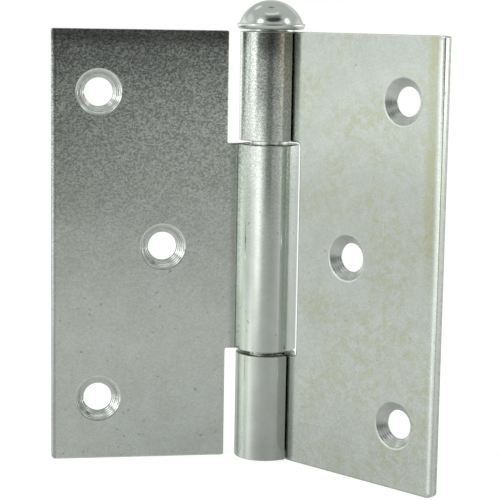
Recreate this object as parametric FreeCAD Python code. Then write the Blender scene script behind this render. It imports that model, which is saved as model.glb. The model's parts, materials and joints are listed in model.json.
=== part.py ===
"""Loose pin butt hinge in rolled sheet steel, standing open.

The pin's axis is the Z axis. The pin's lower end and the leaves' lower edges are at z = 0. The frame leaf
lies along +X from the axis, with its countersunk face towards -Y. The door leaf hangs on the same axis and
is opened away from it, on the -Y side. Each leaf is one sheet: a flat plate, a tight bend to the back, and an
eye rolled round the pin until its free end comes back beside the plate's face, with an open seam between them.
"""
import FreeCAD, Part
import math
import os

# Leaves: one sheet each, in millimetres
leaf_height = 89.0
leaf_width = 44.75
sheet_thickness = 2.1
face_set_back = 0.15
corner_radius = 1.0
edge_chamfer = 0.2
chamfer_share_of_corner = 0.8
chamfer_share_of_sheet = 0.4

# Rolled eyes and the notches between them
bend_inside_radius = 1.9
roll_straight_angle = 18.0
seam_gap = 0.4
middle_knuckle_length = 43.0
knuckle_gap = 0.7
notch_margin = 1.6
notch_corner_radius = 0.9
end_notch_corner_radius = 0.35

# Screw holes: outer ones from the leaf's free edge and ends, the middle one from the pin's axis
hole_diameter = 5.8
countersink_diameter = 9.2
countersink_angle = 90.0
hole_edge_distance = 9.65
hole_end_distance = 12.75
middle_hole_distance = 21.8

# Pin: shank, collar under the head, rim, and a domed head
pin_diameter = 8.15
pin_clearance = 0.075
tip_chamfer_width = 0.8
tip_chamfer_length = 1.2
collar_step = 0.75
collar_height = 0.35
rim_overhang = 0.7
rim_height = 1.25
rim_edge_radius = 0.4
rim_ledge = 0.45
dome_height = 4.7

# Opening angle at rest, from leaves closed face to face
open_angle = 126.5

# Worked out from the sizes above
eye_inner_radius = pin_diameter / 2 + pin_clearance
eye_outer_radius = eye_inner_radius + sheet_thickness
eye_middle_radius = eye_inner_radius + sheet_thickness / 2
bend_middle_radius = bend_inside_radius + sheet_thickness / 2
bend_outside_radius = bend_inside_radius + sheet_thickness
bend_centre_y = face_set_back + sheet_thickness + bend_inside_radius
bend_centre_x = math.sqrt((bend_middle_radius + eye_middle_radius) ** 2 - bend_centre_y ** 2)
notch_edge = bend_centre_x + notch_margin
middle_knuckle_bottom = (leaf_height - middle_knuckle_length) / 2
middle_knuckle_top = middle_knuckle_bottom + middle_knuckle_length
bottom_knuckle_top = middle_knuckle_bottom - knuckle_gap
top_knuckle_bottom = middle_knuckle_top + knuckle_gap
rim_radius = eye_outer_radius + rim_overhang
edge_break = min(
    edge_chamfer,
    chamfer_share_of_corner * corner_radius,
    chamfer_share_of_corner * end_notch_corner_radius,
    chamfer_share_of_sheet * sheet_thickness,
)

TOLERANCE = 1e-4
UP = FreeCAD.Vector(0, 0, 1)


def point(x, y, z=0.0):
    return FreeCAD.Vector(x, y, z)


def polar(radius, degrees, centre=(0.0, 0.0)):
    """A point in the plan view, from its distance and angle about a centre."""
    angle = math.radians(degrees)
    return point(centre[0] + radius * math.cos(angle), centre[1] + radius * math.sin(angle))


def arc(radius, start, end, centre=(0.0, 0.0)):
    """An arc in the plan view from one angle to another, in degrees."""
    middle = (start + end) / 2
    points = [polar(radius, degrees, centre) for degrees in (start, middle, end)]
    return Part.Arc(*points).toShape()


def line(start, end):
    return Part.LineSegment(start, end).toShape()


def box(x0, y0, z0, x1, y1, z1):
    return Part.makeBox(x1 - x0, y1 - y0, z1 - z0, point(x0, y0, z0))


def roll_end():
    """Inner and outer corner of the roll's free end, square to the sheet where its outer side meets the seam."""
    eye_end = -roll_straight_angle
    outer_start = polar(eye_outer_radius, eye_end)
    forward = polar(1, eye_end + 90)
    length = (face_set_back - seam_gap - outer_start.y) / forward.y
    outer = outer_start.add(forward * length)
    inner = polar(eye_inner_radius, eye_end).add(forward * length)
    return inner, outer


def leaf_section():
    """Plan view of a leaf's sheet: plate, bend to the back and rolled eye, at one thickness all along."""
    centre = (bend_centre_x, bend_centre_y)
    join_angle = math.degrees(math.atan2(bend_centre_y, bend_centre_x))
    back_y = face_set_back + sheet_thickness
    bend_start = 180 + join_angle
    eye_end = 360 - roll_straight_angle
    inner, outer = roll_end()
    edges = [
        line(point(leaf_width, face_set_back), point(bend_centre_x, face_set_back)),
        arc(bend_outside_radius, 270, bend_start, centre),
        arc(eye_inner_radius, join_angle, eye_end),
        line(polar(eye_inner_radius, eye_end), inner),
        line(inner, outer),
        line(outer, polar(eye_outer_radius, eye_end)),
        arc(eye_outer_radius, eye_end, join_angle),
        arc(bend_inside_radius, bend_start, 270, centre),
        line(point(bend_centre_x, back_y), point(leaf_width, back_y)),
        line(point(leaf_width, back_y), point(leaf_width, face_set_back)),
    ]
    return Part.Face(Part.Wire(edges))


def round_upright_edges(solid, radius, x, heights):
    """Rounds the edges that cross the sheet's thickness at a distance x and at the given heights."""
    chosen = []
    for edge in solid.Edges:
        ends = [vertex.Point for vertex in edge.Vertexes]
        if len(ends) != 2:
            continue
        at_x = all(abs(end.x - x) < TOLERANCE for end in ends)
        at_z = any(all(abs(end.z - height) < TOLERANCE for end in ends) for height in heights)
        if at_x and at_z:
            chosen.append(edge)
    return solid.makeFillet(radius, chosen)


def notch(bottom, top, inner_radius):
    """The gap in a leaf that the other leaf's knuckle turns in, open where it runs past the leaf's end."""
    reach = eye_outer_radius + leaf_width
    blank = box(-reach, -reach, bottom, notch_edge, reach, top)
    inner = [height for height in (bottom, top) if TOLERANCE < height < leaf_height - TOLERANCE]
    return round_upright_edges(blank, inner_radius, notch_edge, inner)


def screw_hole(x, z):
    """A through hole with its countersink in the leaf's face."""
    overrun = 1.0
    hole_radius = hole_diameter / 2
    sink_radius = countersink_diameter / 2
    slope = math.tan(math.radians(countersink_angle / 2))
    sink_depth = (sink_radius - hole_radius) / slope
    into_sheet = point(0, 1, 0)
    start = point(x, face_set_back - overrun, z)
    drill = Part.makeCylinder(hole_radius, sheet_thickness + 2 * overrun, start, into_sheet)
    sink_start_radius = sink_radius + overrun * slope
    sink = Part.makeCone(sink_start_radius, hole_radius, overrun + sink_depth, start, into_sheet)
    return drill.fuse(sink)


def hole_places():
    outer_x = leaf_width - hole_edge_distance
    return [
        (outer_x, hole_end_distance),
        (middle_hole_distance, leaf_height / 2),
        (outer_x, leaf_height - hole_end_distance),
    ]


def is_sheet_face(face):
    """True for the sheet's own two faces, flat or rolled, and false for its cut edges and the screw holes."""
    surface = face.Surface
    if isinstance(surface, Part.Cylinder):
        return abs(surface.Axis.z) > 1 - TOLERANCE
    if isinstance(surface, Part.Plane):
        in_roll_end = abs(abs(surface.Axis.x) - math.cos(math.radians(roll_straight_angle))) < TOLERANCE
        return in_roll_end or abs(surface.Axis.y) > 1 - TOLERANCE
    return False


def is_cut_face(face):
    """True for the faces left where the sheet was cut to its outline, but not for the roll's free end."""
    surface = face.Surface
    if isinstance(surface, Part.Cylinder):
        corners = (corner_radius, notch_corner_radius, end_notch_corner_radius)
        is_corner = min(abs(surface.Radius - radius) for radius in corners) < TOLERANCE
        return abs(surface.Axis.y) > 1 - TOLERANCE and is_corner
    if isinstance(surface, Part.Plane):
        return max(abs(surface.Axis.x), abs(surface.Axis.z)) > 1 - TOLERANCE
    return False


def outline_edges(solid):
    """The edges between the sheet's faces and its cut outline."""
    sheet_edges = [edge for face in solid.Faces if is_sheet_face(face) for edge in face.Edges]
    cut_edges = [edge for face in solid.Faces if is_cut_face(face) for edge in face.Edges]
    return [edge for edge in cut_edges if any(edge.isSame(other) for other in sheet_edges)]


def leaf(notches, inner_radius):
    """A leaf on the frame leaf's side of the axis, with its knuckles where no notch is cut."""
    solid = leaf_section().extrude(UP * leaf_height)
    solid = round_upright_edges(solid, corner_radius, leaf_width, [0.0, leaf_height])
    for bottom, top in notches:
        solid = solid.cut(notch(bottom, top, inner_radius))
    solid = solid.makeChamfer(edge_break, outline_edges(solid))
    for x, z in hole_places():
        solid = solid.cut(screw_hole(x, z))
    return solid


def frame_leaf():
    return leaf([(bottom_knuckle_top, top_knuckle_bottom)], notch_corner_radius)


def door_leaf():
    past_end = 5.0
    ends = [(-past_end, middle_knuckle_bottom), (middle_knuckle_top, leaf_height + past_end)]
    solid = leaf(ends, end_notch_corner_radius)
    facing = solid.mirror(point(0, 0, 0), point(0, 1, 0))
    facing.rotate(point(0, 0, 0), UP, -open_angle)
    return facing


def pin_profile():
    """Half section of the pin in the XZ plane, from the tip up to the top of the domed head."""
    seat_z = leaf_height
    rim_bottom = seat_z + collar_height
    rim_top = rim_bottom + rim_height
    top_z = rim_top + dome_height
    shank = pin_diameter / 2
    collar = shank + collar_step
    base = rim_radius - rim_ledge
    dome_radius = (base ** 2 + dome_height ** 2) / (2 * dome_height)
    dome_turn = math.asin(base / dome_radius) / 2
    dome_middle = point(
        dome_radius * math.sin(dome_turn),
        0,
        top_z - dome_radius * (1 - math.cos(dome_turn)),
    )
    corners = [
        point(0, 0, 0),
        point(shank - tip_chamfer_width, 0, 0),
        point(shank, 0, tip_chamfer_length),
        point(shank, 0, seat_z),
        point(collar, 0, seat_z),
        point(collar, 0, rim_bottom),
        point(rim_radius, 0, rim_bottom),
        point(rim_radius, 0, rim_top),
        point(base, 0, rim_top),
    ]
    edges = [line(a, b) for a, b in zip(corners, corners[1:])]
    edges.append(Part.Arc(corners[-1], dome_middle, point(0, 0, top_z)).toShape())
    edges.append(line(point(0, 0, top_z), corners[0]))
    return Part.Face(Part.Wire(edges))


def hinge_pin():
    solid = pin_profile().revolve(point(0, 0, 0), UP, 360)
    rim_edges = []
    for edge in solid.Edges:
        span = edge.BoundBox
        is_circle = abs(span.ZMax - span.ZMin) < TOLERANCE
        if is_circle and abs(span.XMax - rim_radius) < TOLERANCE:
            rim_edges.append(edge)
    return solid.makeFillet(rim_edge_radius, rim_edges)


def save(name, solid):
    if not solid.isValid():
        raise RuntimeError(name + " isn't a valid solid")
    if len(solid.Solids) != 1:
        raise RuntimeError(name + " isn't one solid")
    solid.Solids[0].exportStep("parts/" + name + ".step")
    print(name, "volume", round(solid.Volume, 2), "faces", len(solid.Faces))


def main():
    os.makedirs("parts", exist_ok=True)
    save("frame_leaf", frame_leaf())
    save("door_leaf", door_leaf())
    save("hinge_pin", hinge_pin())


main()
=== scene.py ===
"""Looks of the loose pin butt hinge: bright zinc plated sheet steel, standing open in a pale studio.

Each leaf is made again from its flat pattern, with the edges a press leaves (rolled over in front, burnished,
then torn), and bent round the pin as the CAD's sheet is. The pin is turned from its profile. The rest of
the script is their finish, the floor, the light round them and the camera. Lengths in names that end in MM
are in millimetres, and so are all lengths of the leaves and the pin until the last step, which turns them
into metres.
"""
import json
import math

import bpy
from mathutils import Matrix, Vector
from mathutils.geometry import delaunay_2d_cdt


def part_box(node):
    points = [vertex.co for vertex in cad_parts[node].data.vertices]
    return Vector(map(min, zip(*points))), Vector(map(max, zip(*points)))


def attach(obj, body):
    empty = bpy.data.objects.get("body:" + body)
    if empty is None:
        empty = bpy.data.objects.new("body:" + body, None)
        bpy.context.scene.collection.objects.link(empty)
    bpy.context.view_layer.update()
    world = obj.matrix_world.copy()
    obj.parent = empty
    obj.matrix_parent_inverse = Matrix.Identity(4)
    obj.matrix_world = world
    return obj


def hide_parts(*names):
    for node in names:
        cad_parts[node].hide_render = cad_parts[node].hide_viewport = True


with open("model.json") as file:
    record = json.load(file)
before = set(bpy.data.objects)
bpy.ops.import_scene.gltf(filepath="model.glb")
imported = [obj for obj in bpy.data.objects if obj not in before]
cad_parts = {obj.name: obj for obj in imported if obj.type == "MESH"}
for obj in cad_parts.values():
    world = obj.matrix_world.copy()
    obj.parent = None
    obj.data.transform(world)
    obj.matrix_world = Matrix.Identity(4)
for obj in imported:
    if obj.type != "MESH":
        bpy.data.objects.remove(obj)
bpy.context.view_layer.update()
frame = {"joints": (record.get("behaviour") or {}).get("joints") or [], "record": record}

MM = 0.001
QUARTER_TURN = math.pi / 2
FULL_TURN = 2 * math.pi
SAME_PLACE_MM = 1e-6

# The hinge's own sizes, read from the frame
LEAF_LOW, LEAF_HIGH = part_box("frame_leaf")
_, PIN_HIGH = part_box("hinge_pin")
LEAF_HEIGHT_MM = (LEAF_HIGH.z - LEAF_LOW.z) / MM
LEAF_WIDTH_MM = LEAF_HIGH.x / MM
EYE_OUTER_MM = -LEAF_LOW.x / MM
PIN_TOP_MM = PIN_HIGH.z / MM
RIM_RADIUS_MM = PIN_HIGH.x / MM
MOUNTS = {mount["name"]: mount for mount in frame["record"]["mounts"]}
JOINTS = {joint["name"]: joint for joint in frame["joints"]}
OPEN_ANGLE = -JOINTS["leaf_swing"]["range_deg"][0]
SCREW_SPACING_MM = MOUNTS["frame_screws"]["dims"]["spacing_y_mm"]
HOLE_RADIUS_MM = MOUNTS["frame_screws"]["dims"]["hole_r_mm"]
OUTER_SCREW_MM = MOUNTS["frame_screws"]["pos_m"][0] / MM
MIDDLE_SCREW_MM = MOUNTS["frame_middle_screw"]["pos_m"][0] / MM
HOLES_MM = [
    (OUTER_SCREW_MM, LEAF_HEIGHT_MM / 2 - SCREW_SPACING_MM / 2),
    (MIDDLE_SCREW_MM, LEAF_HEIGHT_MM / 2),
    (OUTER_SCREW_MM, LEAF_HEIGHT_MM / 2 + SCREW_SPACING_MM / 2),
]

# Sizes of the sheet that the frame doesn't give, as the CAD has them
SHEET_MM = 2.1
FACE_MM = 0.15
BEND_INSIDE_MM = 1.9
ROLL_STRAIGHT = math.radians(18.0)
SEAM_MM = 0.4
NOTCH_MARGIN_MM = 1.6
MIDDLE_KNUCKLE_MM = 43.0
KNUCKLE_GAP_MM = 0.7
SINK_RADIUS_MM = 4.6

# Radii of the flat pattern's corners
BOTTOM_CORNER_MM = 0.9
TOP_CORNER_MM = 0.5
PLATE_END_CORNER_MM = 0.4
NOTCH_CORNER_MM = 0.9
END_NOTCH_CORNER_MM = 0.35
ROLL_CORNER_MM = 0.3

# Sizes of the pin that the frame doesn't give, as the CAD has them, but for its rim, which is worn rounder below
# than above
PIN_RADIUS_MM = 4.075
TIP_WIDTH_MM = 0.8
TIP_LENGTH_MM = 1.2
COLLAR_STEP_MM = 0.75
COLLAR_HEIGHT_MM = 0.35
RIM_HEIGHT_MM = 1.25
RIM_LEDGE_MM = 0.45
RIM_UNDER_MM = 0.85
RIM_OVER_MM = 0.3

# Half the width over which the pin's normals turn at a sharp edge, the angle at which the rim's upper
# rounding ends, and the normal of the ledge between it and the dome
PIN_EASE_MM = 0.02
RIM_OVER_END = 80
LEDGE_NORMAL = (0.55, 0.83)

# The sheet's path in plan, from the plate through the bend and round the eye
EYE_INNER_MM = EYE_OUTER_MM - SHEET_MM
EYE_MIDDLE_MM = EYE_INNER_MM + SHEET_MM / 2
BEND_MIDDLE_MM = BEND_INSIDE_MM + SHEET_MM / 2
BEND_Y_MM = FACE_MM + SHEET_MM + BEND_INSIDE_MM
BEND_X_MM = math.sqrt((BEND_MIDDLE_MM + EYE_MIDDLE_MM) ** 2 - BEND_Y_MM ** 2)
NOTCH_EDGE_MM = BEND_X_MM + NOTCH_MARGIN_MM
JOIN_TURN = math.atan2(BEND_Y_MM, BEND_X_MM)
BEND_LENGTH_MM = BEND_MIDDLE_MM * (QUARTER_TURN - JOIN_TURN)
EYE_LENGTH_MM = EYE_MIDDLE_MM * (FULL_TURN - ROLL_STRAIGHT - JOIN_TURN)
STRAIGHT_MM = (FACE_MM - SEAM_MM + EYE_OUTER_MM * math.sin(ROLL_STRAIGHT)) / math.cos(ROLL_STRAIGHT)
ROLL_END_MM = BEND_X_MM - BEND_LENGTH_MM - EYE_LENGTH_MM - STRAIGHT_MM

# What the press leaves at the sheet's edges: width and depth of the rolled-over band, where the torn zone
# starts and how it steps and leans inward, and the small break on the back edge with its normals' lean
FRAME_FREE_EDGE_MM = Vector((1.50, 0.38))
DOOR_FREE_EDGE_MM = Vector((1.00, 0.50))
CUT_EDGE_MM = Vector((0.28, 0.12))
ROLL_END_EDGE_MM = Vector((0.12, 0.05))
TORN_FROM_MM = 1.2
TORN_STEP_IN_MM = 0.012
TORN_STEP_DOWN_MM = 0.02
TORN_LEAN_MM = 0.09
BACK_BREAK_MM = 0.12
BREAK_SHARE = 0.3
BREAK_START_LEAN = 0.3
BREAK_MIDDLE_LEAN = 0.7

# Countersinks: the turn and worn rim of their wall, the spacing of the tool's rings, how far these lean the
# wall's normals and how that changes with depth, and how the hole below starts and ends
SINK_WALL_TURN = math.pi / 4
SINK_RIM_MM = 0.26
TOOL_RING_MM = 0.34
TOOL_LEAN = 0.09
TOOL_LEAN_CHANGE = 0.05
TOOL_CHANGE_PER_MM = 5.3
TOOL_CHANGE_START = 1.0
HOLE_EASE_MM = 0.02
HOLE_BREAK_MM = 0.1

# How finely each shape is divided. Columns keep clear of the corners, and join outline points that face up or
# down by at least the share FACES_ACROSS.
BEND_STEPS = 12
EYE_STEPS = 84
STRAIGHT_STEPS = 3
CORNER_STEPS = 5
WIDE_CORNER_MM = 0.6
WIDE_CORNER_STEPS = 10
COLUMN_CLEARANCE_MM = 0.02
FACES_ACROSS = 0.99
ROLLED_OVER_STEPS = 9
SINK_RIM_STEPS = 6
SINK_WALL_STEPS = 26
SINK_SEGMENTS = 96
RIM_UNDER_STEPS = 14
RIM_OVER_STEPS = 8
DOME_STEPS = 36
PIN_SEGMENTS = 128

# Places of a leaf's three materials
FACE, TORN, SINK = 0, 1, 2

# The camera, fitted to the photograph: the hinge turned under it, and its own small turns
HINGE_TURN = 43.792
CAMERA_DISTANCE_MM = 337.682
CAMERA_HEIGHT_MM = 92.331
CAMERA_YAW = 0.606
CAMERA_PITCH = 8.201
CAMERA_ROLL = 0.954
FOCAL_PIXELS = 1634.746
FRAME_PIXELS = 500
SENSOR_MM = 36.0
CLIP_START_MM = 10.0

# Finish colours, linear
WHITE = (1.0, 1.0, 1.0, 1.0)
ZINC = (0.70, 0.745, 0.695, 1.0)
ZINC_LIGHT = (0.745, 0.79, 0.745, 1.0)
ZINC_STAIN = (0.64, 0.66, 0.47, 1.0)
ZINC_PIT = (0.28, 0.30, 0.29, 1.0)
TORN_ZINC = (0.60, 0.64, 0.58, 1.0)
TORN_ZINC_LIGHT = (0.74, 0.78, 0.72, 1.0)
# The countersinks' zinc, painted lighter than the face's: a painted highlight in the holes
SINK_ZINC = (0.84, 0.88, 0.83, 1.0)
SINK_ZINC_LIGHT = (0.92, 0.94, 0.91, 1.0)
PIN_ZINC = (0.76, 0.785, 0.75, 1.0)

# Noises: features along one unit of length, detail, roughness, and stretch
MOTTLE_NOISE = (0.22, 4.0, 0.6)
PATCH_NOISE = (0.08, 2.0, 0.5)
BLOTCH_NOISE = (0.6, 5.0, 0.7)
SPECK_NOISE = (0.9, 1.0)
SAND_NOISE = (2.3, 2.0, 0.9, (1.0, 1.0, 1.3))
PEEL_NOISE = (2.6, 2.0, 0.8)
WAVE_NOISE = (0.07, 1.0)
TORN_NOISE = (1.6, 3.0, 0.7, (1.0, 0.35, 1.0))
SINK_NOISE = (0.9, 3.0, 0.6)
SINK_PEEL_NOISE = (1.4, 2.0, 0.5)
PIN_NOISE = (0.5, 3.0, 0.6)
PIN_WAVE_NOISE = (0.28, 1.0)
PAPER_NOISE = (60.0, 3.0)

# Between which values of its noise each look sets in
MOTTLE_STEP = (0.35, 0.65)
PATCH_STEP = (0.34, 0.60)
BLOTCH_STEP = (0.40, 0.62)
SPECK_STEP = (0.72, 0.78)
SAND_STEP = (0.40, 0.60)

# Where along a leaf one look goes over into the next: from the bend's start, then from the free edge
PLATE_FROM_BEND_MM = (-1.2, 0.8)
STAIN_FROM_BEND_MM = (0.0, 3.0)
# The middle of the painted shade in the crease by the eye
CREASE_FROM_BEND_MM = -0.3
STAIN_FROM_EDGE_MM = (-4.5, -2.5)
CLEAN_FROM_EDGE_MM = (-1.7, -1.2)
# Where the painted highlight on the frame leaf's free edge, and the painted shade on the door leaf's, set in
BAND_FROM_EDGE_MM = (-1.1, -0.7)

# The same up a leaf: shares of its height, and places from its upper end
STAIN_HEIGHTS = (0.4, 0.6)
SAND_HEIGHTS = (0.3, 0.95)
EYE_HEIGHTS = (0.4, 0.95)
# Where the painted shade at a leaf's top sets in, counted from its upper end
DARK_FROM_TOP_MM = (-4.5, -1.5)

# How far the painted shade in the crease and the painted shade in the gaps between the knuckles reach
CREASE_REACH_MM = (0.3, 1.6)
GAP_SHADE_REACH_MM = (0.36, 0.60)

# Strengths of the sheet's looks. Pairs are for the lower and the upper end of the eye.
SPECK_STRENGTH = 0.5
STAIN_BY_BEND = 0.3
STAIN_ON_BAND = 0.2
EYE_GRAIN = (0.06, 0.72)
# Painted highlight: how light the eye is painted at its lower and its upper end
EYE_SHADE = (1.0, 1.18)
# Painted shade in the crease by the eye
CREASE_SHADE = 0.78
# Painted shade in the gaps between the knuckles
GAP_SHADE_STRENGTH = 0.75
EYE_PEEL = 0.45

# Roughness: what the noise or the plate adds, and the least. Dullness is what a darker countersink adds.
BLOTCH_ROUGHNESS = 0.06
PLATE_ROUGHNESS = (0.05, 0.06)
TORN_ROUGHNESS = (0.15, 0.38)
SINK_ROUGHNESS = (0.14, 0.14)
SINK_DULLNESS = 0.6
PIN_ROUGHNESS = (0.06, 0.09)

# Depth of the fine relief
PEEL_MM = 0.009
WAVE_MM = 0.08
TORN_RELIEF_MM = 0.05
SINK_RELIEF_MM = 0.012
PIN_WAVE_MM = 0.06

# Each leaf's own look: strength of the stains, start of the noises, the plate's painted shade, strength of its
# grain at the lower and the upper end, and the painted shades of its free edge, its top and its countersinks.
# Above 1 each is painted light, below 1 painted shade.
LOOKS = {
    "frame_leaf": {
        "stain": 0.72, "seed": 11.0, "plate": 0.95, "grain": (0.20, 0.14),
        "edge": 1.25, "top": 1.0, "sink": 0.84,
    },
    "door_leaf": {
        "stain": 0.15, "seed": 47.0, "plate": 1.29, "grain": (0.20, 1.00),
        "edge": 0.70, "top": 0.52, "sink": 1.05,
    },
}


def section(along):
    """Where the sheet's front is in plan, and the directions along and through it, at a place along the sheet."""
    back = BEND_X_MM - along
    if back <= 0:
        return Vector((along, FACE_MM, 0)), Vector((1, 0, 0)), Vector((0, 1, 0))
    if back <= BEND_LENGTH_MM:
        turn = 1.5 * math.pi - back / BEND_MIDDLE_MM
        out = Vector((math.cos(turn), math.sin(turn), 0))
        start = Vector((BEND_X_MM, BEND_Y_MM, 0)) + out * (BEND_INSIDE_MM + SHEET_MM)
        return start, Vector((-out.y, out.x, 0)), -out
    back -= BEND_LENGTH_MM
    turn = JOIN_TURN + min(back, EYE_LENGTH_MM) / EYE_MIDDLE_MM
    out = Vector((math.cos(turn), math.sin(turn), 0))
    run = Vector((out.y, -out.x, 0))
    return out * EYE_INNER_MM - run * max(0.0, back - EYE_LENGTH_MM), run, out


def bend_columns():
    """Places along the sheet where the bend, the eye and the roll's straight end get a line of points."""
    columns = []
    start = BEND_X_MM
    for length, steps in (
        (BEND_LENGTH_MM, BEND_STEPS),
        (EYE_LENGTH_MM, EYE_STEPS),
        (STRAIGHT_MM, STRAIGHT_STEPS),
    ):
        columns += [start - length * step / steps for step in range(steps)]
        start -= length
    return sorted(columns)


class Shape:
    """Points with their normals, and faces with their material, gathered for one mesh."""

    def __init__(self):
        self.points = []
        self.normals = []
        self.faces = []
        self.materials = []

    def point(self, place, normal):
        """Adds a point and returns its number."""
        self.points.append(place)
        self.normals.append(normal.normalized())
        return len(self.points) - 1

    def sheet_point(self, along, height, depth, lean):
        """A leaf's point from its place on the flat sheet. The lean is its normal along, up and through."""
        start, run, through = section(along)
        place = start + through * depth + Vector((0, 0, height))
        normal = run * lean[0] + Vector((0, 0, lean[1])) + through * lean[2]
        return self.point(place, normal)

    def face(self, corners, material=FACE):
        """Adds a face, turned so that it looks the way its points' normals do."""
        a, b, c = (self.points[corner] for corner in corners[:3])
        facing = (b - a).cross(c - a)
        lean = sum((self.normals[corner] for corner in corners), Vector((0, 0, 0)))
        self.faces.append(corners if facing.dot(lean) > 0 else corners[::-1])
        self.materials.append(material)

    def band(self, first, second, material=FACE):
        """Joins two closed rings of points. Where a ring is a single point, the faces are triangles."""
        for place in range(len(first)):
            after = (place + 1) % len(first)
            corners = tuple(dict.fromkeys((first[place], first[after], second[after], second[place])))
            if len(corners) > 2:
                self.face(corners, material)

    def build(self, name, turn=None):
        """Makes the mesh object, in metres. The turn is applied first, and may mirror."""
        turn = turn or Matrix.Identity(4)
        normal_turn = turn.to_3x3()
        mirrored = normal_turn.determinant() < 0
        mesh = bpy.data.meshes.new(name)
        faces = [face[::-1] for face in self.faces] if mirrored else self.faces
        mesh.from_pydata([(turn @ place) * MM for place in self.points], [], faces)
        mesh.polygons.foreach_set("use_smooth", [True] * len(faces))
        mesh.polygons.foreach_set("material_index", self.materials)
        mesh.normals_split_custom_set_from_vertices([normal_turn @ normal for normal in self.normals])
        mesh.update()
        made = bpy.data.objects.new(name, mesh)
        bpy.context.scene.collection.objects.link(made)
        return made


def outline(corners, columns):
    """Points round a flat pattern: place, outward direction, and width and depth of the rolled-over band.

    Each corner is its place along and up, its radius, and the band on the edge that follows."""
    points = []
    count = len(corners)
    for number in range(count):
        before, here, after = corners[number - 1], corners[number], corners[(number + 1) % count]
        place = Vector(here[:2])
        arriving = (place - Vector(before[:2])).normalized()
        leaving = (Vector(after[:2]) - place).normalized()
        radius = here[2]
        out_before = Vector((arriving.y, -arriving.x))
        out_after = Vector((leaving.y, -leaving.x))
        side = 1 if arriving.cross(leaving) > 0 else -1
        centre = place - arriving * radius - out_before * radius * side
        steps = WIDE_CORNER_STEPS if radius > WIDE_CORNER_MM else CORNER_STEPS
        for step in range(steps + 1):
            turn = QUARTER_TURN * step / steps
            out = out_before * math.cos(turn) + out_after * math.sin(turn)
            points.append((centre + out * radius * side, out, before[3].lerp(here[3], step / steps)))
        start = place + leaving * radius
        end = Vector(after[:2]) - leaving * after[2]
        if abs(leaving.x) > abs(leaving.y):
            low = min(start.x, end.x) + COLUMN_CLEARANCE_MM
            high = max(start.x, end.x) - COLUMN_CLEARANCE_MM
            between = [along for along in columns if low < along < high]
            for along in between if leaving.x > 0 else between[::-1]:
                points.append((Vector((along, start.y)), out_after, here[3]))
    return points


def edge_rings(band):
    """The sheet's edge from front to back: inset, depth, lean outward, lean through, and torn or not."""
    width, depth = band
    rings = []
    for step in range(ROLLED_OVER_STEPS + 1):
        turn = QUARTER_TURN * step / ROLLED_OVER_STEPS
        lean = Vector((depth * math.sin(turn), -width * math.cos(turn))).normalized()
        rings.append((width * (1 - math.sin(turn)), depth * (1 - math.cos(turn)), lean.x, lean.y, False))
    torn_to = SHEET_MM - BACK_BREAK_MM
    slope = TORN_LEAN_MM / (torn_to - TORN_FROM_MM)
    middle = BACK_BREAK_MM * BREAK_SHARE
    rings += [
        (0.0, TORN_FROM_MM, 1.0, 0.0, False),
        (TORN_STEP_IN_MM, TORN_FROM_MM + TORN_STEP_DOWN_MM, 1.0, slope, True),
        (TORN_LEAN_MM, torn_to, 1.0, slope + BREAK_START_LEAN, True),
        (TORN_LEAN_MM + middle, SHEET_MM - middle, BREAK_MIDDLE_LEAN, BREAK_MIDDLE_LEAN, True),
        (TORN_LEAN_MM + BACK_BREAK_MM, SHEET_MM, 0.0, 1.0, False),
    ]
    return rings


def sink_rings():
    """A countersunk hole from front to back: radius, depth, lean from the axis, lean through, material.

    Its rim is worn round, and its wall keeps the rings that the tool left."""
    fillet = SINK_RIM_MM / math.tan(SINK_WALL_TURN / 2)
    rings = []
    for step in range(SINK_RIM_STEPS + 1):
        turn = SINK_WALL_TURN * step / SINK_RIM_STEPS
        radius = SINK_RADIUS_MM + SINK_RIM_MM - fillet * math.sin(turn)
        material = SINK if step else FACE
        rings.append((radius, fillet * (1 - math.cos(turn)), -math.sin(turn), -math.cos(turn), material))
    start = rings[-1][1]
    reach = SINK_RADIUS_MM - HOLE_RADIUS_MM
    across, through = -math.sin(SINK_WALL_TURN), -math.cos(SINK_WALL_TURN)
    for step in range(1, SINK_WALL_STEPS + 1):
        depth = start + (reach - start) * step / SINK_WALL_STEPS
        lean = TOOL_LEAN + TOOL_LEAN_CHANGE * math.sin(depth * TOOL_CHANGE_PER_MM + TOOL_CHANGE_START)
        wave = lean * math.sin(FULL_TURN * depth / TOOL_RING_MM)
        rings.append((SINK_RADIUS_MM - depth, depth, across + wave, through - wave, SINK))
    rings += [
        (HOLE_RADIUS_MM, reach + HOLE_EASE_MM, -1.0, 0.0, SINK),
        (HOLE_RADIUS_MM, SHEET_MM - HOLE_BREAK_MM, -1.0, 0.0, SINK),
        (HOLE_RADIUS_MM + HOLE_BREAK_MM, SHEET_MM, 0.0, 1.0, FACE),
    ]
    return rings


def fill(shape, loops, pairs, depth, lean):
    """Fills the sheet's face inside the outline, the first loop, and outside the holes, the others."""
    triangles_inside = 1
    numbers = [number for loop in loops for number in loop["points"]]
    flat = [place for loop in loops for place in loop["flat"]]
    edges = []
    first = 0
    for loop in loops:
        size = len(loop["points"])
        edges += [(first + step, first + (step + 1) % size) for step in range(size)]
        first += size
    edges += pairs
    places, _, faces, origins = delaunay_2d_cdt(flat, edges, [], triangles_inside, SAME_PLACE_MM, True)[:4]
    corner_of = []
    for place, origin in zip(places, origins):
        if origin:
            corner_of.append(numbers[origin[0]])
        else:
            corner_of.append(shape.sheet_point(place.x, place.y, depth, lean))
    for face in faces:
        middle = sum((places[corner] for corner in face), Vector((0, 0))) / len(face)
        if inside(middle, loops[0]["flat"]) and not any(inside(middle, loop["flat"]) for loop in loops[1:]):
            shape.face(tuple(corner_of[corner] for corner in face))


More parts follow.
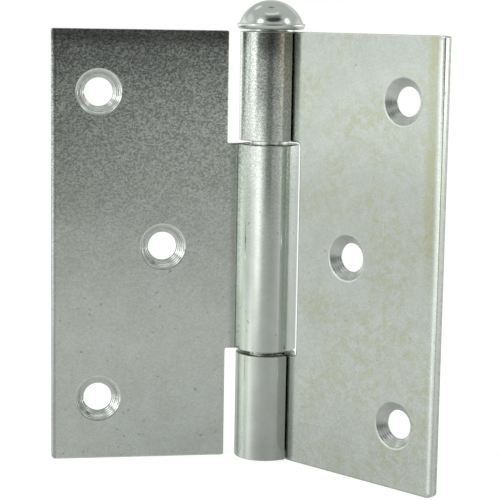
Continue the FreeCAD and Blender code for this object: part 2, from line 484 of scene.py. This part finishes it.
def inside(place, loop):
    """True when a flat place lies inside a closed loop."""
    odd = False
    for number in range(len(loop)):
        a, b = loop[number - 1], loop[number]
        if (a.y > place.y) != (b.y > place.y):
            if place.x < a.x + (place.y - a.y) / (b.y - a.y) * (b.x - a.x):
                odd = not odd
    return odd


def column_pairs(points, columns):
    """Pairs of outline points that lie across a knuckle from each other."""
    pairs = []
    for along in columns:
        across = [
            number for number, (place, out, _) in enumerate(points)
            if abs(place.x - along) < SAME_PLACE_MM and abs(out.y) > FACES_ACROSS
        ]
        across.sort(key=lambda number: points[number][0].y)
        pairs += list(zip(across[::2], across[1::2]))
    return pairs


def sheet_ring(shape, spots):
    """A ring of a leaf's points: for each its flat place, way outward, depth, and lean outward and through."""
    return [
        shape.sheet_point(place.x, place.y, depth, (out.x * lean_out, out.y * lean_out, lean_through))
        for place, out, depth, lean_out, lean_through in spots
    ]


def leaf_shape(corners):
    """One leaf from the corners of its flat pattern, bent, with its countersunk holes."""
    shape = Shape()
    columns = bend_columns()
    points = outline(corners, columns)
    profiles = [edge_rings(band) for _, _, band in points]
    rings = []
    flats = []
    for level in range(len(profiles[0])):
        spots = []
        for (place, out, _), profile in zip(points, profiles):
            inset, depth, lean_out, lean_through, _ = profile[level]
            spots.append((place - out * inset, out, depth, lean_out, lean_through))
        rings.append(sheet_ring(shape, spots))
        flats.append([spot[0] for spot in spots])
    torn = [ring[4] for ring in profiles[0]]
    for level in range(len(rings) - 1):
        material = TORN if torn[level] and torn[level + 1] else FACE
        shape.band(rings[level], rings[level + 1], material)

    front = [{"points": rings[0], "flat": flats[0]}]
    back = [{"points": rings[-1], "flat": flats[-1]}]
    for hole in HOLES_MM:
        first, last = sink(shape, Vector(hole))
        front.append(first)
        back.append(last)
    pairs = column_pairs(points, columns)
    fill(shape, front, pairs, 0.0, (0, 0, -1))
    fill(shape, back, pairs, SHEET_MM, (0, 0, 1))
    return shape


def sink(shape, centre):
    """One countersunk hole. Returns its first and last rings, for the sheet's faces to meet."""
    turns = [FULL_TURN * step / SINK_SEGMENTS for step in range(SINK_SEGMENTS)]
    outs = [Vector((math.cos(turn), math.sin(turn))) for turn in turns]
    loops = []
    for radius, depth, lean_out, lean_through, material in sink_rings():
        flat = [centre + out * radius for out in outs]
        spots = [(place, out, depth, lean_out, lean_through) for place, out in zip(flat, outs)]
        ring = sheet_ring(shape, spots)
        if loops:
            shape.band(loops[-1]["points"], ring, material)
        loops.append({"points": ring, "flat": flat})
    return loops[0], loops[-1]


def frame_leaf_corners():
    """The frame leaf's flat pattern: two eyes to roll, and a notch between them for the middle knuckle."""
    low = (LEAF_HEIGHT_MM - MIDDLE_KNUCKLE_MM) / 2 - KNUCKLE_GAP_MM
    high = LEAF_HEIGHT_MM - low
    end, cut = ROLL_END_EDGE_MM, CUT_EDGE_MM
    return [
        (ROLL_END_MM, 0.0, ROLL_CORNER_MM, cut),
        (LEAF_WIDTH_MM, 0.0, BOTTOM_CORNER_MM, FRAME_FREE_EDGE_MM),
        (LEAF_WIDTH_MM, LEAF_HEIGHT_MM, TOP_CORNER_MM, cut),
        (ROLL_END_MM, LEAF_HEIGHT_MM, ROLL_CORNER_MM, end),
        (ROLL_END_MM, high, ROLL_CORNER_MM, cut),
        (NOTCH_EDGE_MM, high, NOTCH_CORNER_MM, cut),
        (NOTCH_EDGE_MM, low, NOTCH_CORNER_MM, cut),
        (ROLL_END_MM, low, ROLL_CORNER_MM, end),
    ]


def door_leaf_corners():
    """The door leaf's flat pattern: one eye to roll, with a notch above and one below it."""
    low = (LEAF_HEIGHT_MM - MIDDLE_KNUCKLE_MM) / 2
    high = LEAF_HEIGHT_MM - low
    end, cut = ROLL_END_EDGE_MM, CUT_EDGE_MM
    return [
        (NOTCH_EDGE_MM, 0.0, PLATE_END_CORNER_MM, cut),
        (LEAF_WIDTH_MM, 0.0, BOTTOM_CORNER_MM, DOOR_FREE_EDGE_MM),
        (LEAF_WIDTH_MM, LEAF_HEIGHT_MM, TOP_CORNER_MM, cut),
        (NOTCH_EDGE_MM, LEAF_HEIGHT_MM, PLATE_END_CORNER_MM, cut),
        (NOTCH_EDGE_MM, high, END_NOTCH_CORNER_MM, cut),
        (ROLL_END_MM, high, ROLL_CORNER_MM, end),
        (ROLL_END_MM, low, ROLL_CORNER_MM, cut),
        (NOTCH_EDGE_MM, low, END_NOTCH_CORNER_MM, cut),
    ]


def sweep(centre, radius, start, end, steps):
    """Profile points on an arc, from one angle to another, with their normals."""
    points = []
    for step in range(steps + 1):
        turn = math.radians(start + (end - start) * step / steps)
        out = Vector((math.cos(turn), math.sin(turn)))
        points.append((centre + out * radius, out))
    return points


def pin_profile():
    """The pin's half profile, from the tip to the head's top: distance from the axis, height, and normal."""
    seat = LEAF_HEIGHT_MM
    collar = PIN_RADIUS_MM + COLLAR_STEP_MM
    rim_bottom = seat + COLLAR_HEIGHT_MM
    rim_top = rim_bottom + RIM_HEIGHT_MM
    dome_base = RIM_RADIUS_MM - RIM_LEDGE_MM
    dome_height = PIN_TOP_MM - rim_top
    dome_radius = (dome_base ** 2 + dome_height ** 2) / (2 * dome_height)
    down, out = Vector((0, -1)), Vector((1, 0))
    slope = Vector((TIP_LENGTH_MM, -TIP_WIDTH_MM)).normalized()
    ease = PIN_EASE_MM

    points = [
        (Vector((0, 0)), down),
        (Vector((PIN_RADIUS_MM - TIP_WIDTH_MM - ease, 0)), down),
        (Vector((PIN_RADIUS_MM - TIP_WIDTH_MM + ease, 2 * ease)), slope),
        (Vector((PIN_RADIUS_MM - ease, TIP_LENGTH_MM - ease)), slope),
        (Vector((PIN_RADIUS_MM, TIP_LENGTH_MM + ease)), out),
        (Vector((PIN_RADIUS_MM, seat - ease)), out),
        (Vector((PIN_RADIUS_MM + ease, seat)), down),
        (Vector((collar - ease, seat)), down),
        (Vector((collar, seat + ease)), out),
        (Vector((collar, rim_bottom - ease)), out),
        (Vector((collar + ease, rim_bottom)), down),
    ]
    under = Vector((RIM_RADIUS_MM - RIM_UNDER_MM, rim_bottom + RIM_UNDER_MM))
    points += sweep(under, RIM_UNDER_MM, -90, 0, RIM_UNDER_STEPS)
    over = Vector((RIM_RADIUS_MM - RIM_OVER_MM, rim_top - RIM_OVER_MM))
    points += sweep(over, RIM_OVER_MM, 0, RIM_OVER_END, RIM_OVER_STEPS)
    points.append((Vector((dome_base + 2 * ease, rim_top)), Vector(LEDGE_NORMAL)))
    dome_start = 90 - math.degrees(math.asin(dome_base / dome_radius))
    points += sweep(Vector((0, PIN_TOP_MM - dome_radius)), dome_radius, dome_start, 90, DOME_STEPS)
    return points


def pin_shape():
    """The pin turned from its profile."""
    shape = Shape()
    previous = None
    for place, lean in pin_profile():
        height, lean_up = Vector((0, 0, place.y)), Vector((0, 0, lean.y))
        if place.x < SAME_PLACE_MM:
            ring = [shape.point(height, lean_up)] * PIN_SEGMENTS
        else:
            ring = []
            for step in range(PIN_SEGMENTS):
                turn = FULL_TURN * step / PIN_SEGMENTS
                out = Vector((math.cos(turn), math.sin(turn), 0))
                ring.append(shape.point(out * place.x + height, out * lean.x + lean_up))
        if previous:
            shape.band(previous, ring)
        previous = ring
    return shape


def socket_set(tree, socket, value):
    """Gives a node's input a value, or another node's output."""
    if isinstance(value, bpy.types.NodeSocket):
        tree.links.new(value, socket)
    else:
        socket.default_value = value


def add(tree, kind, inputs=(), out=0, **settings):
    """Adds a node, fills its inputs from values or other nodes' outputs, and returns one output."""
    made = tree.nodes.new("ShaderNode" + kind)
    for name, value in settings.items():
        setattr(made, name, value)
    for name, value in dict(inputs).items():
        socket_set(tree, made.inputs[name], value)
    return made.outputs[out]


def maths(tree, operation, *values):
    return add(tree, "Math", enumerate(values), operation=operation)


def vector(tree, operation, *values, out=0):
    return add(tree, "VectorMath", enumerate(values), out, operation=operation)


def span(tree, value, low, high, to_low=0.0, to_high=1.0):
    """A smooth step from to_low to to_high as value goes from low to high."""
    limits = {"Value": value, "From Min": low, "From Max": high, "To Min": to_low, "To Max": to_high}
    return add(tree, "MapRange", limits, interpolation_type="SMOOTHSTEP")


def span_from(tree, value, origin, limits, to_low=0.0, to_high=1.0):
    """The same, between two limits that are counted from an origin."""
    return span(tree, value, origin + limits[0], origin + limits[1], to_low, to_high)


def span_up(tree, height, shares, to_low=0.0, to_high=1.0):
    """The same, between two shares of a leaf's height."""
    return span(tree, height, LEAF_HEIGHT_MM * shares[0], LEAF_HEIGHT_MM * shares[1], to_low, to_high)


def noise(tree, place, scale, detail=2.0, roughness=0.5, stretch=(1.0, 1.0, 1.0)):
    """Noise from 0 to 1: scale is how many features lie along one unit of the place."""
    if stretch != (1.0, 1.0, 1.0):
        place = vector(tree, "MULTIPLY", place, stretch)
    return add(tree, "TexNoise", {"Vector": place, "Scale": scale, "Detail": detail, "Roughness": roughness})


def mix_colour(tree, factor, first, second):
    """The colour between two. A mix node has sockets for all kinds of data, so those for colour go by number."""
    factor_in, first_in, second_in, colour_out = 0, 6, 7, 2
    inputs = {factor_in: factor, first_in: first, second_in: second}
    return add(tree, "Mix", inputs, colour_out, data_type="RGBA")


def scaled(tree, colour, shade):
    """A colour made lighter or darker."""
    return add(tree, "VectorMath", {0: colour, "Scale": shade}, operation="SCALE")


def part_of(tree, place, axis):
    return add(tree, "SeparateXYZ", {"Vector": place}, axis)


def millimetres(tree):
    """The place on a piece, in millimetres."""
    return vector(tree, "MULTIPLY", add(tree, "TexCoord", out="Object"), (1 / MM, 1 / MM, 1 / MM))


def leaf_place(tree, body):
    """Millimetres in a leaf's own directions: x along it from the axis, y into the sheet, z up."""
    place = millimetres(tree)
    if body == "door_leaf":
        inputs = {"Vector": place, "Angle": math.radians(OPEN_ANGLE)}
        place = add(tree, "VectorRotate", inputs, rotation_type="Z_AXIS")
        place = vector(tree, "MULTIPLY", place, (1.0, -1.0, 1.0))
    return place


def new_material(name):
    """An empty material and its node tree."""
    material = bpy.data.materials.new(name)
    material.use_nodes = True
    tree = material.node_tree
    tree.nodes.clear()
    return material, tree


def metal_output(tree, colour, roughness, normal):
    """Ends a material's tree as bare metal."""
    inputs = {"Metallic": 1.0, "Base Color": colour, "Roughness": roughness, "Normal": normal}
    shader = add(tree, "BsdfPrincipled", inputs)
    output = tree.nodes.new("ShaderNodeOutputMaterial")
    tree.links.new(shader, output.inputs["Surface"])


def bump(tree, height, depth_mm, normal=None):
    """A normal leaned by fine relief, on top of another one where that is given."""
    inputs = {"Strength": 1.0, "Distance": depth_mm * MM, "Height": height}
    if normal:
        inputs["Normal"] = normal
    return add(tree, "Bump", inputs)


def stains(tree, shifted, blotches, along, height, strength):
    """How yellow the sheet is: in patches, high up along its free edge, and less beside the bend."""
    patches = noise(tree, shifted, *PATCH_NOISE)
    stained = maths(tree, "MULTIPLY", span(tree, patches, *PATCH_STEP), span(tree, blotches, *BLOTCH_STEP))
    beside_edge = span_from(tree, along, LEAF_WIDTH_MM, STAIN_FROM_EDGE_MM)
    beside_edge = maths(tree, "MULTIPLY", beside_edge, span_up(tree, height, STAIN_HEIGHTS))
    stained = maths(tree, "ADD", stained, beside_edge)
    on_band = span_from(tree, along, LEAF_WIDTH_MM, CLEAN_FROM_EDGE_MM, 1.0, STAIN_ON_BAND)
    stained = maths(tree, "MULTIPLY", stained, on_band)
    by_bend = span_from(tree, along, BEND_X_MM, STAIN_FROM_BEND_MM, STAIN_BY_BEND * strength, strength)
    return maths(tree, "MULTIPLY", stained, by_bend)


def sand(tree, shifted, height, on_plate, plate_grain):
    """How dark the sandy grain is. It changes up the leaf, and is not the same on the plate and the eye."""
    plate_strength = span_up(tree, height, SAND_HEIGHTS, *plate_grain)
    eye_strength = span_up(tree, height, EYE_HEIGHTS, *EYE_GRAIN)
    strength = add(tree, "Mix", {"Factor": on_plate, "A": eye_strength, "B": plate_strength})
    grain = span(tree, noise(tree, shifted, *SAND_NOISE), *SAND_STEP, 1.0, 0.0)
    return maths(tree, "MULTIPLY", grain, strength)


def painted_leaf_shade(tree, along, height, on_plate, look):
    """How light the sheet is painted: a painted highlight up the eye, the plate painted lighter on the door leaf
    and darker on the frame leaf, painted shade at the door leaf's top and in the crease by the eye, a painted
    highlight along the frame leaf's free edge and painted shade along the door leaf's, and painted shade in the
    gaps between the knuckles.
    """
    # A painted highlight, growing up the eye
    eye = span_up(tree, height, EYE_HEIGHTS, *EYE_SHADE)
    # The plate painted lighter on the door leaf and darker on the frame leaf, and painted shade at the door
    # leaf's top
    top_shade = look["plate"] * look["top"]
    plate = span_from(tree, height, LEAF_HEIGHT_MM, DARK_FROM_TOP_MM, look["plate"], top_shade)
    shade = add(tree, "Mix", {"Factor": on_plate, "A": eye, "B": plate})
    # Painted shade in the crease where the plate meets the bend
    crease = maths(tree, "ABSOLUTE", maths(tree, "SUBTRACT", along, BEND_X_MM + CREASE_FROM_BEND_MM))
    shade = maths(tree, "MULTIPLY", shade, span(tree, crease, *CREASE_REACH_MM, CREASE_SHADE, 1.0))
    # A painted highlight along the frame leaf's free edge, painted shade along the door leaf's
    edge = span_from(tree, along, LEAF_WIDTH_MM, BAND_FROM_EDGE_MM, 1.0, look["edge"])
    shade = maths(tree, "MULTIPLY", shade, edge)
    # Painted shade in the gaps between the knuckles, on the eye only
    from_middle = maths(tree, "ABSOLUTE", maths(tree, "SUBTRACT", height, LEAF_HEIGHT_MM / 2))
    gap_middle = (MIDDLE_KNUCKLE_MM + KNUCKLE_GAP_MM) / 2
    from_gap = maths(tree, "ABSOLUTE", maths(tree, "SUBTRACT", from_middle, gap_middle))
    painted_gap_shade = span(tree, from_gap, *GAP_SHADE_REACH_MM, GAP_SHADE_STRENGTH, 0.0)
    painted_gap_shade = maths(tree, "MULTIPLY", painted_gap_shade, maths(tree, "SUBTRACT", 1.0, on_plate))
    return maths(tree, "MULTIPLY", shade, maths(tree, "SUBTRACT", 1.0, painted_gap_shade))


def face_material(body, look):
    """Zinc plated rolled sheet: faint mottle, yellowish stains, pits, sandy grain, and a fine orange peel.

    The eye is burnished by its rolling, so it is smoother than the plate."""
    material, tree = new_material(body + "_zinc")
    place = leaf_place(tree, body)
    along = part_of(tree, place, "X")
    height = part_of(tree, place, "Z")
    on_plate = span_from(tree, along, BEND_X_MM, PLATE_FROM_BEND_MM)
    shifted = vector(tree, "ADD", place, (look["seed"],) * 3)
    mottle = noise(tree, shifted, *MOTTLE_NOISE)
    blotches = noise(tree, shifted, *BLOTCH_NOISE)
    colour = mix_colour(tree, span(tree, mottle, *MOTTLE_STEP), ZINC, ZINC_LIGHT)
    stained = stains(tree, shifted, blotches, along, height, look["stain"])
    colour = mix_colour(tree, stained, colour, ZINC_STAIN)
    specks = span(tree, noise(tree, shifted, *SPECK_NOISE), *SPECK_STEP, 0.0, SPECK_STRENGTH)
    colour = mix_colour(tree, specks, colour, ZINC_PIT)
    colour = mix_colour(tree, sand(tree, shifted, height, on_plate, look["grain"]), colour, ZINC_PIT)
    # Painted light and shade: a painted highlight up the eye, the plate's painted shade, and painted shade at the
    # top, in the crease and in the knuckles' gaps
    colour = scaled(tree, colour, painted_leaf_shade(tree, along, height, on_plate, look))
    smooth = maths(tree, "MULTIPLY_ADD", on_plate, *PLATE_ROUGHNESS)
    roughness = maths(tree, "MULTIPLY_ADD", blotches, BLOTCH_ROUGHNESS, smooth)
    peel_strength = span(tree, on_plate, 0.0, 1.0, EYE_PEEL, 1.0)
    peel = maths(tree, "MULTIPLY", noise(tree, shifted, *PEEL_NOISE), peel_strength)
    normal = bump(tree, noise(tree, shifted, *WAVE_NOISE), WAVE_MM, bump(tree, peel, PEEL_MM))
    metal_output(tree, colour, roughness, normal)
    return material


def torn_material(body):
    """The dull, pitted lower half of a sheared edge, plated over."""
    material, tree = new_material(body + "_torn_edge")
    drag = noise(tree, leaf_place(tree, body), *TORN_NOISE)
    colour = mix_colour(tree, span(tree, drag, *MOTTLE_STEP), TORN_ZINC, TORN_ZINC_LIGHT)
    roughness = maths(tree, "MULTIPLY_ADD", drag, *TORN_ROUGHNESS)
    metal_output(tree, colour, roughness, bump(tree, drag, TORN_RELIEF_MM))
    return material


def sink_material(body, shade):
    """The turned wall of a countersink, plated over, its zinc painted lighter than the face's, and its shade
    painted: darker in the frame leaf's holes, lighter in the door leaf's. The darker it is, the duller.
    """
    material, tree = new_material(body + "_countersink")
    place = leaf_place(tree, body)
    mottle = noise(tree, place, *SINK_NOISE)
    colour = mix_colour(tree, span(tree, mottle, *MOTTLE_STEP), SINK_ZINC, SINK_ZINC_LIGHT)
    # Painted shade in the frame leaf's countersinks, a painted highlight in the door leaf's
    colour = scaled(tree, colour, shade)
    from_noise, least = SINK_ROUGHNESS
    roughness = maths(tree, "MULTIPLY_ADD", mottle, from_noise, least + (1.0 - shade) * SINK_DULLNESS)
    metal_output(tree, colour, roughness, bump(tree, noise(tree, place, *SINK_PEEL_NOISE), SINK_RELIEF_MM))
    return material


def pin_material():
    """Polished zinc on the head and a smooth drawn shank."""
    material, tree = new_material("pin_zinc")
    place = millimetres(tree)
    mottle = noise(tree, place, *PIN_NOISE)
    colour = mix_colour(tree, span(tree, mottle, *MOTTLE_STEP), PIN_ZINC, ZINC_LIGHT)
    roughness = maths(tree, "MULTIPLY_ADD", mottle, *PIN_ROUGHNESS)
    metal_output(tree, colour, roughness, bump(tree, noise(tree, place, *PIN_WAVE_NOISE), PIN_WAVE_MM))
    return material


def place_piece(piece, body):
    """Puts a piece in place of its CAD node, riding on its body."""
    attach(piece, body)
    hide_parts(body)


def add_pieces():
    """Makes the leaves and the pin. The door leaf is the mirror image of its pattern, turned open."""
    mirror = Matrix.Diagonal((1, -1, 1, 1))
    open_turn = Matrix.Rotation(-math.radians(OPEN_ANGLE), 4, "Z") @ mirror
    leaves = [
        ("frame_leaf", frame_leaf_corners(), None),
        ("door_leaf", door_leaf_corners(), open_turn),
    ]
    for body, corners, turn in leaves:
        look = LOOKS[body]
        made = leaf_shape(corners).build(body + "_sheet", turn)
        for material in (face_material(body, look), torn_material(body), sink_material(body, look["sink"])):
            made.data.materials.append(material)
        place_piece(made, body)
    pin = pin_shape().build("pin_turned")
    pin.data.materials.append(pin_material())
    place_piece(pin, "hinge_pin")


# The room as the metal sees it, at three heights: azimuth from the camera's side, positive to its right,
# brightness, and how warm it is where it is warm. It is dark behind the camera, with softboxes on both sides.
LOW = [
    (-180, 0.55), (-166, 0.60), (-156, 1.15), (-142, 1.25), (-124, 1.02), (-110, 0.87), (-98, 0.88),
    (-87, 0.81), (-82, 0.83), (-76, 1.20), (-60, 1.45), (-50, 0.36), (-42, 0.12), (-34, 0.06),
    (-26, 0.02), (10, 0.01), (20, 0.02, 0.5), (33, 0.09, 1.0), (40, 0.24, 1.0), (50, 0.42, 0.8),
    (60, 0.45, 0.3), (72, 0.25), (82, 0.35), (92, 1.30), (110, 1.90), (125, 1.30), (165, 0.50),
]
MIDDLE = [
    (-180, 0.55), (-160, 0.70), (-140, 1.10), (-111, 1.12), (-98, 1.00), (-88, 0.78), (-78, 0.74),
    (-69, 0.92), (-60, 1.20), (-51, 1.50), (-43, 2.10), (-35, 2.15), (-27, 1.45), (-20, 0.72),
    (-12, 0.34), (-4, 0.22), (6, 0.10), (14, 0.05), (22, 0.06), (28, 0.16), (36, 0.24), (43, 0.40),
    (50, 0.65), (60, 0.40), (75, 0.25), (90, 0.60), (105, 0.85), (120, 0.80), (150, 0.60),
]
HIGH = [
    (-180, 0.42), (-160, 0.60), (-138, 0.85), (-120, 1.09), (-95, 1.05), (-84, 1.42), (-75, 1.62),
    (-66, 2.38), (-57, 1.95), (-48, 1.20), (-40, 0.79), (-32, 0.53), (-24, 0.40), (-12, 0.26),
    (8, 0.18), (30, 0.22), (44, 0.32), (56, 0.20), (90, 0.50), (120, 0.80), (150, 0.60),
]
OVERHEAD = (0.50, 0.52, 0.51, 1.0)

# Between which elevations, in degrees, the room goes over into the next height
TO_MIDDLE = (3.0, 4.9)
TO_HIGH = (8.5, 13.0)
TO_OVERHEAD = (18.0, 28.0)

# Softboxes and dark places high up, which the pin's head mirrors: azimuth, elevation, half width and half
# height in degrees, and brightness. Their edges fade between two shares of that half size.
PATCHES = [
    (12, 71, 22, 4, 0.85), (12, 60, 25, 8, 0.22), (12, 49, 26, 9, 0.055), (-47, 40, 11, 8, 1.50),
    (72, 37, 10, 8, 1.50), (-142, 50, 7, 7, 0.95), (165, 26, 22, 8, 0.70), (180, 77, 7, 4, 0.20),
    (-104, 34, 20, 9, 0.75),
]
PATCH_FADE = (0.7, 1.3)
COOL_TINT = (0.985, 1.0, 0.99)
WARM_TINT = (1.22, 1.0, 0.76)

# How bright the floor's painted glow is in the metal at a distance from the hinge, in metres, dimmer near the
# hinge as a painted shadow. It ends at the last one.
FLOOR = [
    (0.02, 0.43), (0.04, 0.49), (0.08, 0.55), (0.16, 0.61), (0.32, 0.66), (0.6, 0.74),
    (0.8, 1.02), (1.7, 1.60), (3.0, 1.15), (6.0, 0.38),
]
FLOOR_TINT = (0.985, 1.0, 0.975)
FLOOR_SEGMENTS = 96

# The floor is darker towards the camera, a painted shadow: between which angles to either side that fades, and by
# how much. It sets in between two distances, as powers of two of a metre.
FRONT_SHADES = [(7, 11, 0.28), (11, 16, 0.22)]
FRONT_FROM = (-1.5, -0.7)

# The board's gloss, and what the camera sees of it: paper that takes shadows, and a glow that makes it white
GLOSS_ROUGHNESS = 0.06
GLOSS_INDEX = 1.45
PAPER = (0.34, 0.34, 0.34, 1.0)
PAPER_LIGHT = (0.36, 0.36, 0.36, 1.0)
PAPER_GLOW = 0.82

# Lamps that light the floor: azimuth and elevation in degrees, distance, width and height in metres, and
# brightness
SOFTBOXES = {
    "softbox_left": (-62, 40, 0.70, 0.46, 0.50, 1.6),
    "softbox_right": (66, 50, 0.80, 0.36, 0.40, 1.3),
}


def tinted(brightness, warm=0.0):
    """A colour for a brightness and for how warm it is."""
    return [brightness * (cool + (hot - cool) * warm) for cool, hot in zip(COOL_TINT, WARM_TINT)] + [1.0]


def ramp(tree, value, stops):
    """A colour for a value from 0 to 1, from a list of values and colours."""
    made = tree.nodes.new("ShaderNodeValToRGB")
    marks = made.color_ramp.elements
    marks[0].position, marks[0].color = stops[0]
    marks[1].position, marks[1].color = stops[-1]
    for position, colour in stops[1:-1]:
        marks.new(position).color = colour
    tree.links.new(value, made.inputs[0])
    return made.outputs[0]


def ring_colour(tree, turned, stops):
    """The colour for an azimuth from the camera's side, from one of the room's lists."""
    around = [((azimuth + 180) / 360, tinted(*light)) for azimuth, *light in stops]
    around.append((1.0, around[0][1]))
    return ramp(tree, maths(tree, "MULTIPLY_ADD", turned, 0.5 / math.pi, 0.5), around)


def camera_azimuth(tree, direction):
    """The azimuth of a direction or a place, from the camera's side, in radians."""
    split = part_of(tree, direction, "X").node
    azimuth = maths(tree, "ARCTAN2", split.outputs["Y"], split.outputs["X"])
    turned = maths(tree, "SUBTRACT", azimuth, math.radians(HINGE_TURN - 90))
    return maths(tree, "WRAP", turned, math.pi, -math.pi)


def floor_board(tree, place):
    """The floor as the metal sees it: a painted glow, uneven, with a painted shadow towards the camera, and a
    glossy surface.
    """
    far = maths(tree, "LOGARITHM", vector(tree, "LENGTH", place, out="Value"), 2.0)
    nearest, farthest = math.log2(FLOOR[0][0]), math.log2(FLOOR[-1][0])
    reach = farthest - nearest
    share = maths(tree, "MULTIPLY_ADD", far, 1 / reach, -nearest / reach)
    stops = [
        ((math.log2(distance) - nearest) / reach, [light * tint for tint in FLOOR_TINT] + [1.0])
        for distance, light in FLOOR
    ]
    aside = maths(tree, "ABSOLUTE", camera_azimuth(tree, place))
    near_shade, far_shade = (
        span(tree, aside, math.radians(full), math.radians(gone), depth, 0.0)
        for full, gone, depth in FRONT_SHADES
    )
    shade = maths(tree, "MULTIPLY", maths(tree, "ADD", near_shade, far_shade), span(tree, far, *FRONT_FROM))
    strength = maths(tree, "SUBTRACT", 1.0, shade)
    # The painted glow, with painted shadows near the hinge and towards the camera
    lit = add(tree, "Emission", {"Color": ramp(tree, share, stops), "Strength": strength})
    gloss = add(tree, "BsdfGlossy", {"Color": WHITE, "Roughness": GLOSS_ROUGHNESS})
    return add(tree, "MixShader", {"Fac": add(tree, "Fresnel", {"IOR": GLOSS_INDEX}), 1: lit, 2: gloss})


def floor_paper(tree, place):
    """The floor as the camera sees it: white, but for the hinge's shadow."""
    paper = mix_colour(tree, noise(tree, place, *PAPER_NOISE), PAPER, PAPER_LIGHT)
    dimmed = add(tree, "BsdfDiffuse", {"Color": paper})
    glow = add(tree, "Emission", {"Color": WHITE, "Strength": PAPER_GLOW})
    return add(tree, "AddShader", {0: dimmed, 1: glow})


def add_floor():
    """A wide pale glossy floor. The camera sees it white, with the hinge's shadow on it."""
    bpy.ops.mesh.primitive_circle_add(vertices=FLOOR_SEGMENTS, radius=FLOOR[-1][0], fill_type="NGON")
    floor = bpy.context.object
    floor.name = "floor"
    material, tree = new_material("floor_board")
    camera_ray = add(tree, "LightPath", out="Is Camera Ray")
    place = add(tree, "TexCoord", out="Object")
    board, paper = floor_board(tree, place), floor_paper(tree, place)
    surface = add(tree, "MixShader", {"Fac": camera_ray, 1: board, 2: paper})
    output = tree.nodes.new("ShaderNodeOutputMaterial")
    tree.links.new(surface, output.inputs["Surface"])
    floor.data.materials.append(material)


def patch(tree, turned, elevation, spot):
    """How much of one of the patches shows in a direction."""
    azimuth, centre, half_width, half_height, _ = spot
    aside = maths(tree, "WRAP", maths(tree, "SUBTRACT", turned, math.radians(azimuth)), math.pi, -math.pi)
    aside = maths(tree, "DIVIDE", aside, math.radians(half_width) / math.cos(math.radians(centre)))
    above = maths(tree, "DIVIDE", maths(tree, "SUBTRACT", elevation, centre), half_height)
    squares = maths(tree, "ADD", maths(tree, "POWER", aside, 2.0), maths(tree, "POWER", above, 2.0))
    return span(tree, maths(tree, "SQRT", squares), *PATCH_FADE, 1.0, 0.0)


def light_room():
    """The world: white to the camera, and to everything else a room that is dark behind the camera."""
    world = bpy.data.worlds.new("studio_room")
    bpy.context.scene.world = world
    world.use_nodes = True
    tree = world.node_tree
    tree.nodes.clear()
    direction = add(tree, "TexCoord", out="Generated")
    turned = camera_azimuth(tree, direction)
    height = part_of(tree, direction, "Z")
    elevation = maths(tree, "MULTIPLY", maths(tree, "ARCSINE", height), 180 / math.pi)
    colour = ring_colour(tree, turned, LOW)
    colour = mix_colour(tree, span(tree, elevation, *TO_MIDDLE), colour, ring_colour(tree, turned, MIDDLE))
    colour = mix_colour(tree, span(tree, elevation, *TO_HIGH), colour, ring_colour(tree, turned, HIGH))
    colour = mix_colour(tree, span(tree, elevation, *TO_OVERHEAD), colour, OVERHEAD)
    for spot in PATCHES:
        colour = mix_colour(tree, patch(tree, turned, elevation, spot), colour, tinted(spot[-1]))
    colour = mix_colour(tree, add(tree, "LightPath", out="Is Camera Ray"), colour, WHITE)
    background = add(tree, "Background", {"Color": colour, "Strength": 1.0})
    output = tree.nodes.new("ShaderNodeOutputWorld")
    tree.links.new(background, output.inputs["Surface"])


def add_softbox(name, azimuth, elevation, distance, width, height, brightness):
    """An area light that faces the hinge. Brightness is what a mirror would show of it, though none does."""
    light = bpy.data.lights.new(name, "AREA")
    light.shape = "RECTANGLE"
    light.size = width
    light.size_y = height
    light.energy = brightness * math.pi * width * height
    lamp = bpy.data.objects.new(name, light)
    bpy.context.scene.collection.objects.link(lamp)
    turn = math.radians(HINGE_TURN - 90 + azimuth)
    rise = math.radians(elevation)
    away = Vector((math.cos(turn) * math.cos(rise), math.sin(turn) * math.cos(rise), math.sin(rise)))
    middle = Vector((0.0, 0.0, LEAF_HEIGHT_MM * MM / 2))
    lamp.location = middle + away * distance
    lamp.rotation_euler = away.to_track_quat("Z", "Y").to_euler()
    lamp.visible_camera = False
    lamp.visible_glossy = False


def add_lamps():
    """The softboxes that light the floor."""
    for name, sizes in SOFTBOXES.items():
        add_softbox(name, *sizes)


def add_camera():
    """The photograph's viewing angle and frame."""
    data = bpy.data.cameras.new("camera")
    data.sensor_fit = "HORIZONTAL"
    data.sensor_width = SENSOR_MM
    data.lens = FOCAL_PIXELS / FRAME_PIXELS * SENSOR_MM
    data.clip_start = CLIP_START_MM * MM
    camera = bpy.data.objects.new("camera", data)
    bpy.context.scene.collection.objects.link(camera)
    turn = Matrix.Rotation(math.radians(HINGE_TURN), 4, "Z")
    place = Matrix.Translation((0.0, -CAMERA_DISTANCE_MM * MM, CAMERA_HEIGHT_MM * MM))
    yaw = Matrix.Rotation(math.radians(CAMERA_YAW), 4, "Z")
    pitch = Matrix.Rotation(math.radians(90 - CAMERA_PITCH), 4, "X")
    roll = Matrix.Rotation(math.radians(CAMERA_ROLL), 4, "Z")
    camera.matrix_world = turn @ place @ yaw @ pitch @ roll
    bpy.context.scene.camera = camera


bpy.context.scene.view_settings.view_transform = "Standard"
add_camera()
add_pieces()
add_floor()
light_room()
add_lamps()
